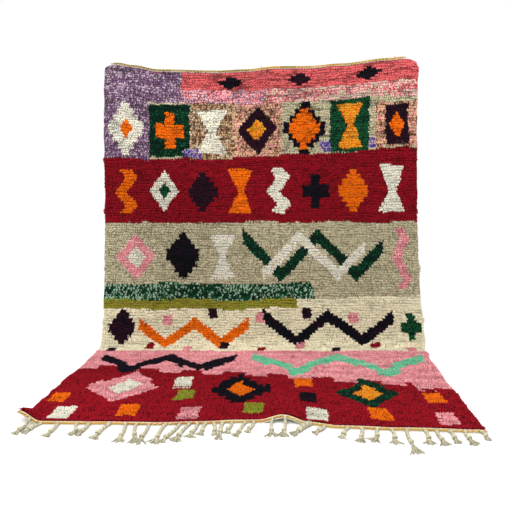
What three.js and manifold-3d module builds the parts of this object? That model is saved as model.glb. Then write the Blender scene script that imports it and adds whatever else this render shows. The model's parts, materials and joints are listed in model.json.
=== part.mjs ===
// A hand-knotted wool rug, hung by its top edge, whose lower third turns forward and lies on the floor.
// Millimetres, +Z up. The pile side faces -Y where the rug hangs and +Z where it lies.
// Places on the cloth are given as side, from -1 at the left edge to 1 at the right edge,
// and down, the distance along the cloth from its top edge.

import * as THREE from 'three';
import * as BufferGeometryUtils from 'three/addons/utils/BufferGeometryUtils.js';
import Module from 'manifold-3d';

const { degToRad, lerp, radToDeg, smoothstep } = THREE.MathUtils;

// The cloth
const HANG_HEIGHT = 1780;
const FLOOR_RUN = 920;
const THICKNESS = 16;
const RIM_SHARE = 0.55;
const RIM_ROUND = 18;
const LUMP = 1.1;
const RIM_WAVE = 2.5;
const LEFT_CORNER_RADIUS = 36;
const RIGHT_CORNER_RADIUS = 70;

// How far the cloth is turned from hanging straight, in degrees, going up it from the floor
const BEND = [
  { up: 0, turn: 90 },
  { up: 150, turn: 14 },
  { up: 330, turn: 8 },
  { up: 560, turn: 3 },
  { up: 950, turn: 0 },
];

// The side edges, across from the middle of the hanging part
const EDGES = [
  { down: 0, left: -1004, right: 1008 },
  { down: 360, left: -1008, right: 997 },
  { down: 950, left: -1001, right: 998 },
  { down: 1400, left: -1000, right: 1009 },
  { down: 1740, left: -998, right: 1024 },
  { down: 1860, left: -1003, right: 998 },
  { down: 2050, left: -1008, right: 974 },
  { down: 2380, left: -1040, right: 949 },
  { down: 2770, left: -1064, right: 931 },
];

// The top edge between its hanging points: its height over HANG_HEIGHT, and how far it stands forward
const TOP_EDGE = [
  { across: -1010, rise: -6, forward: 0 },
  { across: -925, rise: -1, forward: 2 },
  { across: -820, rise: -18, forward: 8 },
  { across: -660, rise: -46, forward: 13 },
  { across: -290, rise: -53, forward: 6 },
  { across: -105, rise: -46, forward: 11 },
  { across: 100, rise: -24, forward: 4 },
  { across: 300, rise: -24, forward: 9 },
  { across: 510, rise: -6, forward: 3 },
  { across: 810, rise: 27, forward: 10 },
  { across: 915, rise: 38, forward: 4 },
  { across: 1010, rise: 38, forward: 0 },
];
const SAG_DEPTH = 900;
const WAVE_DEPTH = 520;

// The hem line on the floor, as its distance in front of the plane in which the rug hangs
const HEM = [
  { across: -1070, forward: 1082 },
  { across: -700, forward: 1087 },
  { across: -450, forward: 1094 },
  { across: -280, forward: 1085 },
  { across: -105, forward: 1071 },
  { across: 60, forward: 1068 },
  { across: 190, forward: 1090 },
  { across: 320, forward: 1122 },
  { across: 570, forward: 1140 },
  { across: 940, forward: 1160 },
];

// Where the cloth stands off the floor: a ripple that runs in from the hem, and the left hem corner
const RIPPLE = { across: 88, width: 225, height: 22, length: 380 };
const CURL = { width: 100, height: 48, length: 130 };

// The flat-woven end band in front of the hem, and the twined cords sewn on
const SEAM_GAP = 0.5;
const PIECE_GAP = 0.3;
const BAND_DEEP = 20;
const BAND_THICK = 3.5;
const CORD_SIDES = 8;
const HEM_CORD_RADIUS = 5;
const HEM_CORD_SETBACK = 11;
const TOP_CORD_RADIUS = 4.5;
const TOP_CORD_SETBACK = 7;
const TOP_CORD_FROM = -970;
const TOP_CORD_TO = 935;

// The tassels, left to right: root across, length to the knot and length of the frayed tail,
// with the slant of the strand and the lean of the tail from straight forward, in degrees
const TASSELS = [
  { root: -1005, slant: -16, length: 60, lean: -28, tail: 30 },
  { root: -955, slant: -26, length: 58, lean: -40, tail: 32 },
  { root: -884, slant: -2, length: 70, lean: -20, tail: 36 },
  { root: -802, slant: 16, length: 66, lean: -50, tail: 34 },
  { root: -750, slant: -8, length: 68, lean: -24, tail: 28 },
  { root: -660, slant: -16, length: 88, lean: -20, tail: 38 },
  { root: -592, slant: 4, length: 98, lean: -4, tail: 48 },
  { root: -545, slant: 8, length: 92, lean: 16, tail: 54 },
  { root: -490, slant: -4, length: 106, lean: -10, tail: 50 },
  { root: -420, slant: -8, length: 108, lean: -8, tail: 46 },
  { root: -358, slant: -20, length: 120, lean: -30, tail: 34 },
  { root: -316, slant: -17, length: 106, lean: -26, tail: 46 },
  { root: -284, slant: -10, length: 80, lean: -14, tail: 34 },
  { root: -248, slant: -8, length: 66, lean: -20, tail: 26 },
  { root: -216, slant: 8, length: 70, lean: 8, tail: 26 },
  { root: -175, slant: -4, length: 80, lean: -8, tail: 56 },
  { root: -136, slant: -12, length: 64, lean: -10, tail: 28 },
  { root: -75, slant: -18, length: 90, lean: -36, tail: 34 },
  { root: -42, slant: -16, length: 62, lean: -24, tail: 26 },
  { root: 39, slant: -5, length: 78, lean: 8, tail: 46 },
  { root: 92, slant: -6, length: 74, lean: -8, tail: 46 },
  { root: 200, slant: -42, length: 78, lean: -56, tail: 42 },
  { root: 260, slant: -36, length: 46, lean: -56, tail: 34 },
  { root: 358, slant: -28, length: 62, lean: -42, tail: 30 },
  { root: 412, slant: -12, length: 70, lean: -18, tail: 42 },
  { root: 478, slant: -14, length: 60, lean: -36, tail: 46 },
  { root: 535, slant: -4, length: 72, lean: -2, tail: 40 },
  { root: 598, slant: -6, length: 104, lean: 2, tail: 80 },
  { root: 672, slant: -5, length: 70, lean: -10, tail: 38 },
  { root: 721, slant: -3, length: 74, lean: 8, tail: 40 },
  { root: 774, slant: -2, length: 58, lean: 16, tail: 34 },
  { root: 836, slant: -6, length: 58, lean: 14, tail: 44 },
  { root: 902, slant: 8, length: 34, lean: -2, tail: 24 },
];
const ROOT_DEPTH = 2.5;
const SETTLE_LENGTH = 45;
const STRAND_BOW = 4;
const STRAND_TOP_SHARE = 0.55;

// A strand from its root to just past its knot: each section lies past a share of the length,
// and half is its half width
const STRAND_SECTIONS = [
  { share: 0, past: 0, half: 5.5, high: 3 },
  { share: 0, past: 8, half: 6.5, high: 8 },
  { share: 0.5, past: 0, half: 6, high: 9 },
  { share: 1, past: -13, half: 6, high: 9.5 },
  { share: 1, past: -7, half: 9.5, high: 13 },
  { share: 1, past: 4, half: 10, high: 14 },
  { share: 1, past: 10, half: 7, high: 9 },
];

// The locks of a frayed tail: how far to the side each ends, and how high it stands at its root
const LOCKS = [
  { spread: -12, high: 6 },
  { spread: 0, high: 8.5 },
  { spread: 12, high: 7 },
];
const LOCK_ROOT = { share: 0, past: -3, half: 4 };
const LOCK_TIP = { share: 1, past: 0, half: 3, high: 3.5 };

// The grid of the cloth: rows by stretches of its length, columns evenly between a few near each edge
const ROW_STRETCHES = [
  { to: 14, step: 14 },
  { to: 110, step: 48 },
  { to: 1300, step: 85 },
  { to: 1700, step: 57 },
  { to: 1860, step: 20 },
  { to: 2700, step: 70 },
  { to: 2756, step: 56 },
];
const EDGE_COLUMNS = [0, 14, 40, 80];
const COLUMN_STEP = 61;

// Reads a column of a table at a place between its rows, easing from row to row
function readTable(table, key, place, column) {
  const next = table.findIndex((row) => row[key] > place);
  if (next === 0) return table[0][column];
  if (next < 0) return table[table.length - 1][column];
  const [before, after] = [table[next - 1], table[next]];
  return lerp(before[column], after[column], smoothstep(place, before[key], after[key]));
}

// Walks up the cloth from the floor in short steps, noting how far back and up it has come
function walkUpCloth() {
  const step = 5;
  const path = [{ back: 0, height: 0 }];
  for (let up = step / 2; path.at(-1).height < HANG_HEIGHT; up += step) {
    const turn = degToRad(readTable(BEND, 'up', up, 'turn'));
    const { back, height } = path.at(-1);
    path.push({ back: back + step * Math.sin(turn), height: height + step * Math.cos(turn) });
  }
  return { step, path };
}

const HANGING = walkUpCloth();
const FLOOR_START = HANGING.path.at(-1).back;
const HANG_LENGTH = (HANGING.path.length - 1) * HANGING.step;
const CLOTH_LENGTH = HANG_LENGTH + FLOOR_RUN;

// The middle line of the cloth's back: how far forward of the hanging plane, and how high
function restingLine(down, hemForward) {
  const up = HANG_LENGTH - down;
  if (up <= 0) {
    return { forward: lerp(FLOOR_START, hemForward, -up / FLOOR_RUN), height: 0 };
  }
  const { step, path } = HANGING;
  const index = Math.min(Math.floor(up / step), path.length - 2);
  const share = up / step - index;
  const [low, high] = [path[index], path[index + 1]];
  return {
    forward: FLOOR_START - lerp(low.back, high.back, share),
    height: lerp(low.height, high.height, share),
  };
}

// How high the cloth stands off the floor near the hem
function liftOffFloor(x, down) {
  const fromHem = CLOTH_LENGTH - down;
  const across = Math.min(Math.abs(x - RIPPLE.across) / (RIPPLE.width / 2), 1);
  const crest = (1 + Math.cos(Math.PI * across)) / 2;
  const ripple = RIPPLE.height * crest * (1 - smoothstep(fromHem, 0, RIPPLE.length));
  const fromCorner = x - EDGES.at(-1).left;
  const atCorner = 1 - smoothstep(fromCorner, 0, CURL.width);
  const curl = CURL.height * atCorner * (1 - smoothstep(fromHem, 0, CURL.length));
  return ripple + curl;
}

// A point of the cloth's back
function backPoint(side, down) {
  const wave = RIM_WAVE * Math.sin(down / 31) * Math.sin(down / 113);
  const left = readTable(EDGES, 'down', down, 'left') + wave;
  const right = readTable(EDGES, 'down', down, 'right') + wave;
  const x = lerp(left, right, (side + 1) / 2);
  const { forward, height } = restingLine(down, readTable(HEM, 'across', x, 'forward'));
  const sag = readTable(TOP_EDGE, 'across', x, 'rise') * (1 - smoothstep(down, 0, SAG_DEPTH));
  const sway = readTable(TOP_EDGE, 'across', x, 'forward') * (1 - smoothstep(down, 0, WAVE_DEPTH));
  const lift = liftOffFloor(x, down);
  return new THREE.Vector3(x, -forward - sway, height + sag + lift);
}

// The direction in which the pile stands
function pileNormal(side, down) {
  const reach = 0.004;
  const along = backPoint(side, down + reach * 1000).sub(backPoint(side, down - reach * 1000));
  const across = backPoint(side + reach, down).sub(backPoint(side - reach, down));
  return along.cross(across).normalize();
}

// The cloth is thinner round its rim, where the pile falls away, and a little lumpy elsewhere
function thicknessAt(fromEdge, x, down) {
  const full = smoothstep(fromEdge, 0, RIM_ROUND);
  const lump = LUMP * (Math.sin(x / 43) * Math.sin(down / 57) + 0.6 * Math.sin(x / 19 + down / 23));
  return THICKNESS * lerp(RIM_SHARE, 1, full) + lump * full;
}

// How much of the top is cut away by the rounded corners, at a distance from each side edge
function cornerCut(fromLeft, fromRight) {
  const [radius, distance] = fromLeft < fromRight
    ? [LEFT_CORNER_RADIUS, fromLeft]
    : [RIGHT_CORNER_RADIUS, fromRight];
  const inside = Math.max(radius - distance, 0);
  return radius - Math.sqrt(radius ** 2 - inside ** 2);
}

function columnSides() {
  const width = EDGES[0].right - EDGES[0].left;
  const margin = EDGE_COLUMNS.at(-1);
  const count = Math.round((width - 2 * margin) / COLUMN_STEP);
  const distances = [...EDGE_COLUMNS];
  for (let i = 1; i < count; i += 1) {
    distances.push(margin + (i * (width - 2 * margin)) / count);
  }
  distances.push(...EDGE_COLUMNS.map((distance) => width - distance).reverse());
  return distances.map((distance) => ({
    side: (2 * distance) / width - 1,
    fromLeft: distance,
    fromRight: width - distance,
  }));
}

function rowDistances() {
  const rows = [0];
  for (const { to, step } of ROW_STRETCHES) {
    const from = rows.at(-1);
    const count = Math.max(Math.round((to - from) / step), 1);
    for (let i = 1; i <= count; i += 1) {
      rows.push(from + (i * (to - from)) / count);
    }
  }
  rows.push(CLOTH_LENGTH);
  return rows;
}

const COLUMNS = columnSides();
const ROWS = rowDistances();

function geometryFrom(points, triangles) {
  const geometry = new THREE.BufferGeometry();
  geometry.setAttribute('position', new THREE.Float32BufferAttribute(points.flatMap((p) => p.toArray()), 3));
  geometry.setIndex(triangles.flat());
  geometry.computeVertexNormals();
  return geometry;
}

// The ground weave and its pile: a grid of back points, the same grid of pile points, and the rim between
function clothGeometry() {
  const back = [];
  const front = [];
  for (const row of ROWS) {
    for (const { side, fromLeft, fromRight } of COLUMNS) {
      const cut = cornerCut(fromLeft, fromRight) * (1 - smoothstep(row, 0, 400));
      const down = row + cut;
      const fromEdge = Math.min(fromLeft, fromRight, row, CLOTH_LENGTH - row);
      const point = backPoint(side, down);
      back.push(point);
      front.push(pileNormal(side, down).multiplyScalar(thicknessAt(fromEdge, point.x, down)).add(point));
    }
  }
  const width = COLUMNS.length;
  const lastRow = ROWS.length - 1;
  const pile = back.length;
  const triangles = [];
  const addQuad = (a, b, c, d) => triangles.push([a, b, c], [a, c, d]);
  for (let row = 0; row < lastRow; row += 1) {
    for (let column = 0; column < width - 1; column += 1) {
      const a = row * width + column;
      addQuad(a, a + 1, a + width + 1, a + width);
      addQuad(pile + a, pile + a + width, pile + a + width + 1, pile + a + 1);
    }
    const left = row * width;
    const right = left + width - 1;
    addQuad(left, left + width, pile + left + width, pile + left);
    addQuad(right, pile + right, pile + right + width, right + width);
  }
  const hem = lastRow * width;
  for (let column = 0; column < width - 1; column += 1) {
    addQuad(column, pile + column, pile + column + 1, column + 1);
    addQuad(hem + column, hem + column + 1, pile + hem + column + 1, pile + hem + column);
  }
  return geometryFrom([...back, ...front], triangles);
}

// A closed solid through rings of points, each ring turning the same way seen along the solid
function loft(rings) {
  const sides = rings[0].length;
  const triangles = [];
  for (let ring = 0; ring < rings.length - 1; ring += 1) {
    for (let i = 0; i < sides; i += 1) {
      const a = ring * sides + i;
      const b = ring * sides + ((i + 1) % sides);
      triangles.push([a, b, b + sides], [a, b + sides, a + sides]);
    }
  }
  const last = (rings.length - 1) * sides;
  for (let i = 1; i < sides - 1; i += 1) {
    triangles.push([0, i + 1, i], [last, last + i, last + i + 1]);
  }
  return geometryFrom(rings.flat(), triangles);
}

// A round cord's ring, standing across the X direction
function cordRing(centre, radius) {
  const ring = [];
  for (let i = 0; i < CORD_SIDES; i += 1) {
    const angle = ((i + 0.5) / CORD_SIDES) * 2 * Math.PI;
    ring.push(new THREE.Vector3(0, radius * Math.cos(angle), radius * Math.sin(angle)).add(centre));
  }
  return ring;
}

const flatSize = (radius) => radius * Math.cos(Math.PI / CORD_SIDES);

function hemCordGeometry() {
  const rings = COLUMNS.map(({ side }) => {
    const centre = backPoint(side, CLOTH_LENGTH);
    centre.y -= SEAM_GAP + HEM_CORD_SETBACK;
    centre.z += BAND_THICK + PIECE_GAP + flatSize(HEM_CORD_RADIUS);
    return cordRing(centre, HEM_CORD_RADIUS);
  });
  return loft(rings);
}

function topCordGeometry() {
  const rings = [];
  for (const { side } of COLUMNS) {
    const back = backPoint(side, 0);
    if (back.x < TOP_CORD_FROM || back.x > TOP_CORD_TO) continue;
    const rim = pileNormal(side, 0).multiplyScalar(THICKNESS * RIM_SHARE).add(back);
    const centre = new THREE.Vector3(back.x, back.y - TOP_CORD_SETBACK, Math.max(back.z, rim.z));
    centre.z += PIECE_GAP + flatSize(TOP_CORD_RADIUS);
    rings.push(cordRing(centre, TOP_CORD_RADIUS));
  }
  return loft(rings);
}

function bandGeometry() {
  const rings = COLUMNS.map(({ side }) => {
    const { x, y, z } = backPoint(side, CLOTH_LENGTH);
    const rear = y - SEAM_GAP;
    const front = rear - BAND_DEEP;
    const top = z + BAND_THICK;
    return [[rear, z], [rear, top], [front, top], [front, z]].map(([py, pz]) => new THREE.Vector3(x, py, pz));
  });
  return loft(rings);
}

// The band's front edge at a place across, where a tassel grows out of it
function bandFront(across) {
  const hem = COLUMNS.map(({ side }) => backPoint(side, CLOTH_LENGTH));
  const next = hem.findIndex((point) => point.x > across);
  const [before, after] = [hem[next - 1], hem[next]];
  const point = before.lerp(after, (across - before.x) / (after.x - before.x));
  point.y -= SEAM_GAP + BAND_DEEP;
  return point;
}

// A four-sided strand through sections that each rest on the line of its foot
function strandGeometry(start, slant, length, bow, sections) {
  const heading = new THREE.Vector3(Math.sin(degToRad(slant)), -Math.cos(degToRad(slant)), 0);
  const sideways = new THREE.Vector3(-heading.y, heading.x, 0);
  const rings = sections.map(({ share, past, half, high }) => {
    const distance = share * length + past;
    const foot = start.clone().addScaledVector(heading, distance);
    foot.addScaledVector(sideways, bow * Math.sin(Math.PI * Math.min(distance / length, 1)));
    foot.z = start.z * (1 - smoothstep(distance, 0, SETTLE_LENGTH));
    const corner = (reach, up) => foot.clone().addScaledVector(sideways, reach).setZ(foot.z + up);
    return [
      corner(half, 0),
      corner(half * STRAND_TOP_SHARE, high),
      corner(-half * STRAND_TOP_SHARE, high),
      corner(-half, 0),
    ];
  });
  return loft(rings);
}

// A tassel: its strand and knot, and the locks of its frayed tail, rooted in the knot
function tasselGeometries({ root, slant, length, lean, tail }, index) {
  const start = bandFront(root);
  start.y += ROOT_DEPTH;
  const bow = index % 2 === 0 ? STRAND_BOW : -STRAND_BOW;
  const strand = strandGeometry(start, slant, length, bow, STRAND_SECTIONS);
  const heading = new THREE.Vector3(Math.sin(degToRad(slant)), -Math.cos(degToRad(slant)), 0);
  const knot = start.clone().addScaledVector(heading, length).setZ(0);
  const locks = LOCKS.map(({ spread, high }) => {
    const splay = radToDeg(Math.atan2(spread, tail));
    return strandGeometry(knot, lean + splay, tail, 0, [{ ...LOCK_ROOT, high }, LOCK_TIP]);
  });
  return [strand, ...locks];
}

// Joins closed geometries that overlap into one closed geometry
async function joinSolids(geometries) {
  const wasm = await Module();
  wasm.setup();
  const solids = geometries.map((geometry) => {
    const bare = geometry.clone();
    bare.deleteAttribute('normal');
    const merged = BufferGeometryUtils.mergeVertices(bare);
    return new wasm.Manifold(new wasm.Mesh({
      numProp: 3,
      vertProperties: new Float32Array(merged.attributes.position.array),
      triVerts: new Uint32Array(merged.index.array),
    }));
  });
  const mesh = solids.reduce((whole, solid) => whole.add(solid)).getMesh();
  const joined = new THREE.BufferGeometry();
  joined.setAttribute('position', new THREE.Float32BufferAttribute(mesh.vertProperties, 3));
  joined.setIndex(Array.from(mesh.triVerts));
  joined.computeVertexNormals();
  return joined;
}

function addPiece(group, name, geometry, color, roughness) {
  const material = new THREE.MeshStandardMaterial({ color, roughness, metalness: 0, flatShading: true });
  const mesh = new THREE.Mesh(geometry, material);
  mesh.name = name;
  group.add(mesh);
}

const rug = new THREE.Group();
addPiece(rug, 'field', clothGeometry(), 0x8a1a24, 0.95);
const fringeBand = await joinSolids([bandGeometry(), ...TASSELS.flatMap(tasselGeometries)]);
addPiece(rug, 'fringe_band', fringeBand, 0xe0dac6, 0.9);
addPiece(rug, 'end_cord', hemCordGeometry(), 0xc98a2a, 0.85);
addPiece(rug, 'top_cord', topCordGeometry(), 0xd79a24, 0.85);

// The origin is the middle of the whole rug's footprint, on the floor
const bounds = new THREE.Box3().setFromObject(rug);
rug.position.set(-(bounds.min.x + bounds.max.x) / 2, -(bounds.min.y + bounds.max.y) / 2, -bounds.min.z);

export default rug;
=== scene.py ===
# A hand-knotted wool rug, hung by its top edge, whose lower third lies forward on the floor.
# Metres, +Z up. Places on the cloth are given as side, from -1 at the left edge to 1 at the right edge,
# and down, the distance along the cloth from its top edge.
import json
import math

import bpy
import numpy as np
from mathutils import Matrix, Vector


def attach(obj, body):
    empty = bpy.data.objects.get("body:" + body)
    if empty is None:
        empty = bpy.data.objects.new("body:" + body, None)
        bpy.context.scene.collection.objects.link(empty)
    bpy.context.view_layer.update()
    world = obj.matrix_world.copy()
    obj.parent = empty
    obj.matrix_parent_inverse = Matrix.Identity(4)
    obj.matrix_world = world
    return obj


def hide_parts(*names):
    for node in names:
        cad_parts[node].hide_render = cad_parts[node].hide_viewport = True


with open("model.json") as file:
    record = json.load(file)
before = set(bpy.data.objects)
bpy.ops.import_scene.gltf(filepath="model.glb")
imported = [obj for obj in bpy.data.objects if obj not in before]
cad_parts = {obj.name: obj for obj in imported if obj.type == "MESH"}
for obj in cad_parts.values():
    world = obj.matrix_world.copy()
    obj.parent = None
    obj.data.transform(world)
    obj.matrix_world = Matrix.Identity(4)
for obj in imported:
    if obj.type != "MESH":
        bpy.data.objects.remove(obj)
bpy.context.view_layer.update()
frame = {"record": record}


def table(columns, *rows):
    """Rows of values as dicts, under the names of their columns"""
    return [dict(zip(columns.split(), row)) for row in rows]


# The cloth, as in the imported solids
HANG_HEIGHT = 1.780
FLOOR_RUN = 0.920
CLOTH_WIDTH = 2.0
LEFT_CORNER_RADIUS = 0.036
RIGHT_CORNER_RADIUS = 0.070
RIM_WAVE = 0.0025
RIM_WAVE_LENGTHS = (0.031, 0.113)
SAG_DEPTH = 0.900
WAVE_DEPTH = 0.520
WALK_STEP = 0.005
RIPPLE = dict(across=0.088, width=0.225, height=0.022, length=0.380)
CURL = dict(width=0.100, height=0.048, length=0.130)

# How far the cloth is turned from hanging straight, in degrees, going up it from the floor
BEND = table(
    "up turn",
    (0, 90),
    (0.150, 14),
    (0.330, 8),
    (0.560, 3),
    (0.950, 0),
)

# The side edges, across from the middle of the hanging part
EDGES = table(
    "down left right",
    (0.000, -1.004, 1.008),
    (0.360, -1.008, 0.997),
    (0.950, -1.001, 0.998),
    (1.400, -1.000, 1.009),
    (1.740, -0.998, 1.024),
    (1.860, -1.003, 0.998),
    (2.050, -1.008, 0.974),
    (2.380, -1.040, 0.949),
    (2.770, -1.064, 0.931),
)

# The top edge between its hanging points: its height over HANG_HEIGHT, and how far it stands forward
TOP_EDGE = table(
    "across rise forward",
    (-1.010, -0.006, 0.000),
    (-0.925, -0.001, 0.002),
    (-0.820, -0.018, 0.008),
    (-0.660, -0.046, 0.013),
    (-0.290, -0.053, 0.006),
    (-0.105, -0.046, 0.011),
    (0.100, -0.024, 0.004),
    (0.300, -0.024, 0.009),
    (0.510, -0.006, 0.003),
    (0.810, 0.027, 0.010),
    (0.915, 0.038, 0.004),
    (1.010, 0.038, 0.000),
)

# The hem line on the floor, as its distance in front of the plane in which the rug hangs
HEM = table(
    "across forward",
    (-1.070, 1.082),
    (-0.700, 1.087),
    (-0.450, 1.094),
    (-0.280, 1.085),
    (-0.105, 1.071),
    (0.060, 1.068),
    (0.190, 1.090),
    (0.320, 1.122),
    (0.570, 1.140),
    (0.940, 1.160),
)

# The end band, its cords and its tassels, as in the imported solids
SEAM_GAP = 0.0005
PIECE_GAP = 0.0003
BAND_DEEP = 0.020
BAND_THICK = 0.0035
BAND_PROFILE = (
    (0, 0.0008), (0, 0.0026), (0.0015, BAND_THICK), (0.007, 0.0033), (0.014, BAND_THICK),
    (BAND_DEEP - 0.0015, 0.0031), (BAND_DEEP, 0.0020), (BAND_DEEP, 0.0008), (BAND_DEEP - 0.001, 0),
    (0.001, 0),
)
CORD_RADIUS = 0.0042
CORD_RISE = BAND_THICK + PIECE_GAP + CORD_RADIUS

# The cords at each end: how far each lies in front of the cloth's end and over it, and the yarns that take
# turns in its two plies
HEM_CORDS = [
    ("hem_cord_inner", SEAM_GAP + 0.0080, CORD_RISE, "cream pale_rose cream", "cream straw dark_cream"),
    ("hem_cord_outer", SEAM_GAP + 0.0155, CORD_RISE, "old_gold ochre old_gold", "straw ochre old_gold"),
]
TOP_CORDS = [
    ("upper_cord_lower", 0.0090, 0.0045, "straw old_gold ochre", "old_gold straw olive"),
    ("upper_cord_upper", 0.0065, 0.0115, "old_gold ochre olive", "old_gold olive ochre"),
]
CORD_PITCH = 0.022
# The height given to every cord point, which sets the even painted shade that the yarn material gives the
# cords
CORD_PAINTED_SHADE_HEIGHT = 0.85
PLY_ORBIT = 0.45
PLY_THICK = 0.56
CORD_TAPER = 0.035
CORD_SIDES = 6
CORD_STEPS = 8
YARN_RUN = 36
LOOSE_ENDS = table(
    "side length lean",
    (-0.012, 0.030, 58),
    (0.003, 0.022, -20),
    (0.842, 0.020, 14),
    (-0.300, 0.012, -35),
)
TOP_CORD_SPAN = (-0.970, 0.935)
TOP_CORD_DIM = 0.34

# The tassels from left to right: where each leaves the band, its slant in degrees and length to its knot,
# the lean and length of its tail, and for one how broad it is
ROOT_DEPTH = 0.0025
SETTLE_LENGTH = 0.045
STRAND_BOW = 0.004
TASSELS = table(
    "root slant length lean tail broad",
    (-1.005, -16, 0.060, -28, 0.030),
    (-0.955, -26, 0.058, -40, 0.032),
    (-0.884, -2, 0.070, -20, 0.036),
    (-0.802, 16, 0.066, -50, 0.034),
    (-0.750, -8, 0.068, -24, 0.028),
    (-0.660, -16, 0.088, -20, 0.038),
    (-0.592, 4, 0.098, -4, 0.048),
    (-0.545, 8, 0.092, 16, 0.054),
    (-0.490, -4, 0.106, -10, 0.050),
    (-0.420, -8, 0.108, -8, 0.046),
    (-0.358, -20, 0.120, -30, 0.034),
    (-0.316, -17, 0.106, -26, 0.046),
    (-0.284, -10, 0.080, -14, 0.034),
    (-0.248, -8, 0.066, -20, 0.026),
    (-0.216, 8, 0.070, 8, 0.026),
    (-0.175, -4, 0.080, -8, 0.056),
    (-0.136, -12, 0.064, -10, 0.028),
    (-0.075, -18, 0.090, -36, 0.034),
    (-0.042, -16, 0.062, -24, 0.026),
    (0.039, -5, 0.078, 8, 0.046),
    (0.092, -6, 0.074, -8, 0.046),
    (0.200, -42, 0.078, -56, 0.042, 1.5),
    (0.260, -36, 0.046, -56, 0.034),
    (0.358, -28, 0.062, -42, 0.030),
    (0.412, -12, 0.070, -18, 0.042),
    (0.478, -14, 0.060, -36, 0.046),
    (0.535, -4, 0.072, -2, 0.040),
    (0.598, -6, 0.104, 2, 0.080),
    (0.672, -5, 0.070, -10, 0.038),
    (0.721, -3, 0.074, 8, 0.040),
    (0.774, -2, 0.058, 16, 0.034),
    (0.836, -6, 0.058, 14, 0.044),
    (0.902, 8, 0.034, -2, 0.024),
)

# The pile, in four parts from the top down
PILE_PARTS = ("pile_top", "pile_upper", "pile_lower", "pile_floor")
ROW_PITCH = 0.0150
TUFT_PITCH = 0.0112
TOP_MARGIN = 0.006
HEM_MARGIN = 0.016
GROUND_THICK = 0.0035
KNOT_RISE = 0.0014
SEED = 11

# Dyed yarns, as red, green and blue from 0 to 255
YARNS = dict(
    crimson=(135, 14, 27),
    dark_crimson=(110, 10, 23),
    coral=(207, 97, 97),
    dark_coral=(185, 78, 82),
    rose=(210, 132, 138),
    pale_rose=(226, 164, 164),
    peach=(222, 172, 142),
    mauve=(122, 92, 122),
    plum=(98, 68, 94),
    lilac=(174, 154, 166),
    ivory=(218, 214, 198),
    cream=(228, 220, 190),
    dark_cream=(214, 203, 172),
    stone=(178, 170, 138),
    dark_stone=(152, 143, 114),
    pale_stone=(192, 184, 156),
    brown=(106, 72, 50),
    tan=(180, 144, 110),
    orange=(224, 106, 10),
    dark_orange=(208, 88, 8),
    gold=(216, 146, 40),
    dark_green=(8, 40, 28),
    green=(20, 76, 44),
    olive=(138, 126, 46),
    lime=(132, 142, 40),
    mint=(96, 184, 144),
    sage=(148, 176, 150),
    blue=(56, 56, 150),
    black=(14, 14, 22),
    aubergine=(40, 14, 28),
    warp=(208, 201, 172),
    old_gold=(204, 164, 84),
    ochre=(188, 132, 56),
    straw=(218, 196, 138),
)

# The yarns that a ground is knotted from, each with its share of the tufts
GROUNDS = dict(
    crimson=dict(crimson=0.75, dark_crimson=0.25),
    coral=dict(coral=0.7, dark_coral=0.3),
    rose_marl=dict(rose=0.25, mauve=0.15, lilac=0.22, dark_coral=0.13, pale_rose=0.25),
    blush_marl=dict(dark_coral=0.16, rose=0.24, pale_rose=0.26, pale_stone=0.34),
    peach_marl=dict(brown=0.18, rose=0.18, tan=0.28, peach=0.36),
    mauve_marl=dict(plum=0.33, mauve=0.33, lilac=0.34),
    stone=dict(stone=0.5, pale_stone=0.28, dark_stone=0.22),
    cream=dict(cream=0.65, dark_cream=0.35),
    rose=dict(rose=0.75, pale_rose=0.25),
    green_marl=dict(dark_green=0.38, green=0.34, sage=0.28),
    blue_marl=dict(blue=0.48, mauve=0.24, lilac=0.28),
    brown_marl=dict(brown=0.42, tan=0.42, pale_stone=0.16),
    mint=dict(mint=0.8, sage=0.2),
    olive=dict(olive=0.7, lime=0.3),
    orange=dict(orange=0.7, dark_orange=0.3),
    gold=dict(gold=0.75, orange=0.25),
    green=dict(green=0.75, dark_green=0.25),
    dark_green=dict(dark_green=0.8, green=0.2),
    ivory=dict(ivory=0.92, pale_stone=0.08),
    black=dict(black=0.9, aubergine=0.1),
    aubergine=dict(aubergine=0.8, black=0.2),
    lime=dict(lime=0.75, olive=0.25),
)

# The plain bands, from the top: how far down each starts at the left and at the right edge
BANDS = table(
    "ground left right",
    ("coral", 0, 0),
    ("rose_marl", 0.105, 0.125),
    ("stone", 0.19, 0.215),
    ("crimson", 0.59, 0.53),
    ("stone", 1.0, 0.995),
    ("cream", 1.51, 1.468),
    ("rose", 1.845, 1.85),
    ("crimson", 2.11, 2.36),
)

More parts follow.
